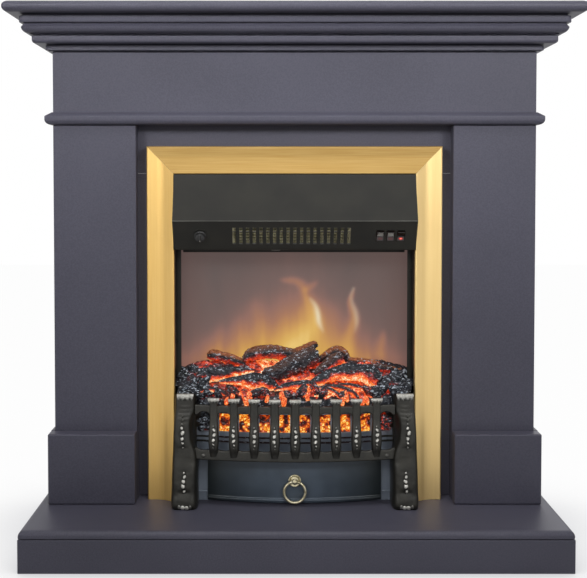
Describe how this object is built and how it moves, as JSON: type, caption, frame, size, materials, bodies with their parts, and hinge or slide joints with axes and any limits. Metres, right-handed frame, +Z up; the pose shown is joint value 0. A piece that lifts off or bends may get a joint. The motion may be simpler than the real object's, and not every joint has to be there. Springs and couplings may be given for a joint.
{
  "type": "electric fireplace suite",
  "caption": "Electric fireplace suite: painted mantel surround on a hearth, brass-trimmed inset fire with log bed, cast grate, fan-heater hood, rocker switches and a lift-off ash-pan cover.",
  "frame": {"origin": "on the floor, below the middle of the overall box", "axes": "+Z up, -Y out of the front of the fire, +X to the viewer's right"},
  "size_m": [0.95, 0.37, 0.9],
  "materials": {
    "painted_mdf": "satin dark grey-violet paint",
    "brass_trim": "satin brass plate",
    "aged_brass": "pale antique brass",
    "black_steel": "satin black stove enamel",
    "grey_steel": "blue-grey semi-gloss enamel",
    "galvanised_steel": "zinc coated sheet",
    "black_cast_iron": "blackened with polished high spots",
    "black_plastic": "moulded",
    "flame_screen": "frosted back-lit acrylic",
    "lamp_glass": "opal glass on a ceramic holder",
    "fuel_resin": "moulded and painted, lit from below",
    "ember_glow": "translucent, lit from behind",
    "mirror_foil": "mirror bright"
  },
  "bodies": {
    "root": {"hearth_board": "painted_mdf", "hearth_fascia": "painted_mdf", "hearth_side_left": "painted_mdf", "hearth_side_right": "painted_mdf", "hearth_back_rail": "painted_mdf", "pillar_left": "painted_mdf", "pillar_right": "painted_mdf", "side_panel_left": "painted_mdf", "side_panel_right": "painted_mdf", "plinth_front_left": "painted_mdf", "plinth_front_right": "painted_mdf", "plinth_side_left": "painted_mdf", "plinth_side_right": "painted_mdf", "stile_left": "painted_mdf", "stile_right": "painted_mdf", "header_panel": "painted_mdf", "rear_rail": "painted_mdf", "frieze_board": "painted_mdf", "belt_front": "painted_mdf", "belt_left": "painted_mdf", "belt_right": "painted_mdf", "crown_fillet": "painted_mdf", "crown_round": "painted_mdf", "crown_cove": "painted_mdf", "mantel_shelf": "painted_mdf", "trim_left": "brass_trim", "trim_right": "brass_trim", "trim_top": "brass_trim", "casing_side_left": "black_steel", "casing_side_right": "black_steel", "casing_floor": "galvanised_steel", "casing_top": "galvanised_steel", "rear_cover": "galvanised_steel", "inlet_gland": "black_plastic", "hood": "black_steel", "outlet_grille": "black_steel", "heater_block": "galvanised_steel", "blower_body": "galvanised_steel", "blower_motor": "galvanised_steel", "flame_screen": "flame_screen", "spinner_motor": "galvanised_steel", "lamp_left": "lamp_glass", "lamp_right": "lamp_glass", "fuel_bed": "fuel_resin", "grate_post_left": "black_cast_iron", "grate_post_right": "black_cast_iron", "grate_bars": "black_cast_iron", "ember_panel": "grey_steel", "ember_strip": "ember_glow", "lower_panel": "grey_steel"},
    "low_heat_rocker": {"rocker_low_heat": "black_plastic"},
    "high_heat_rocker": {"rocker_high_heat": "black_plastic"},
    "flame_rocker": {"rocker_flame": "black_plastic"},
    "knob": {"thermostat_knob": "black_plastic"},
    "impeller": {"blower_impeller": "galvanised_steel"},
    "spinner": {"flame_spinner": "mirror_foil"},
    "cover": {"ash_pan_cover": "grey_steel", "ring_rosette": "aged_brass"},
    "ring": {"ring_handle": "aged_brass"}
  },
  "joints": [
    {"name": "low_heat_switch", "type": "hinge", "parent": "root", "child": "low_heat_rocker", "pos_m": [0.1414, -0.05353, 0.51979], "axis": [-1, 0, 0], "range_deg": [0, 16]},
    {"name": "high_heat_switch", "type": "hinge", "parent": "root", "child": "high_heat_rocker", "pos_m": [0.1585, -0.05353, 0.51979], "axis": [-1, 0, 0], "range_deg": [0, 16]},
    {"name": "flame_switch", "type": "hinge", "parent": "root", "child": "flame_rocker", "pos_m": [0.1756, -0.05353, 0.51979], "axis": [-1, 0, 0], "range_deg": [0, 16]},
    {"name": "thermostat_turn", "type": "hinge", "parent": "root", "child": "knob", "pos_m": [-0.157, -0.057, 0.5178], "axis": [0, -0.8682, -0.4961], "range_deg": [0, 270]},
    {"name": "impeller_spin", "type": "hinge", "parent": "root", "child": "impeller", "pos_m": [-0.0057, -0.01393, 0.54241], "axis": [1, 0, 0], "continuous": true},
    {"name": "spinner_spin", "type": "hinge", "parent": "root", "child": "spinner", "pos_m": [0, 0.0833, 0.218], "axis": [1, 0, 0], "continuous": true},
    {"name": "cover_draw", "type": "slide", "parent": "root", "child": "cover", "axis": [0, -1, 0], "range_m": [0, 0.03]},
    {"name": "ring_swing", "type": "hinge", "parent": "cover", "child": "ring", "pos_m": [0, -0.05496, 0.106], "axis": [-1, 0, 0], "range_deg": [0, 85]}
  ]
}
